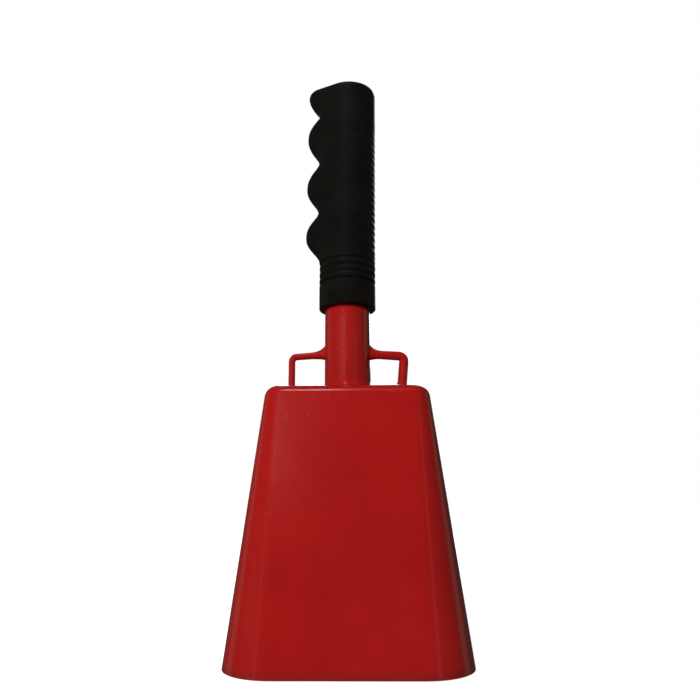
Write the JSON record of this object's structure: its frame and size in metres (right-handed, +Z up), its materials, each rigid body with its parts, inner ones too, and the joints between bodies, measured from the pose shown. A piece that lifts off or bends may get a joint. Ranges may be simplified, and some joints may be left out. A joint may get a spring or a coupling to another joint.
{
  "type": "handled cowbell",
  "caption": "Handheld cowbell: tapered sheet steel bell, tubular stem with a wire strap loop, moulded finger grip and a wire-hung ball clapper.",
  "frame": {"origin": "centre of the bell's mouth, in the plane of its rim", "axes": "+Z up the handle, +X across the wide faces away from the finger grooves, +Y from the front face to the back face"},
  "size_m": [0.093, 0.052, 0.2435],
  "materials": {
    "red_enamel": "gloss",
    "black_vinyl": "satin",
    "clapper_steel": "satin"
  },
  "bodies": {
    "bell": {"front_shell": "red_enamel", "back_shell": "red_enamel", "seam_weld": "red_enamel", "stem_tube": "red_enamel", "strap_loop": "red_enamel", "stem_base_weld": "red_enamel", "loop_foot_weld_left": "red_enamel", "loop_foot_weld_right": "red_enamel", "loop_stem_weld_left": "red_enamel", "loop_stem_weld_right": "red_enamel", "finger_grip": "black_vinyl", "clapper_hanger": "clapper_steel"},
    "link": {"clapper_link": "clapper_steel"},
    "clapper": {"clapper_rod": "clapper_steel", "clapper_ball": "clapper_steel"}
  },
  "joints": [
    {"name": "link_tip", "type": "hinge", "parent": "bell", "child": "link", "pos_m": [0, 0, 0.092], "axis": [1, 0, 0], "range_deg": [-8, 8]},
    {"name": "clapper_swing", "type": "hinge", "parent": "link", "child": "clapper", "pos_m": [0, 0, 0.084], "axis": [0, 1, 0], "range_deg": [-27, 27]}
  ]
}
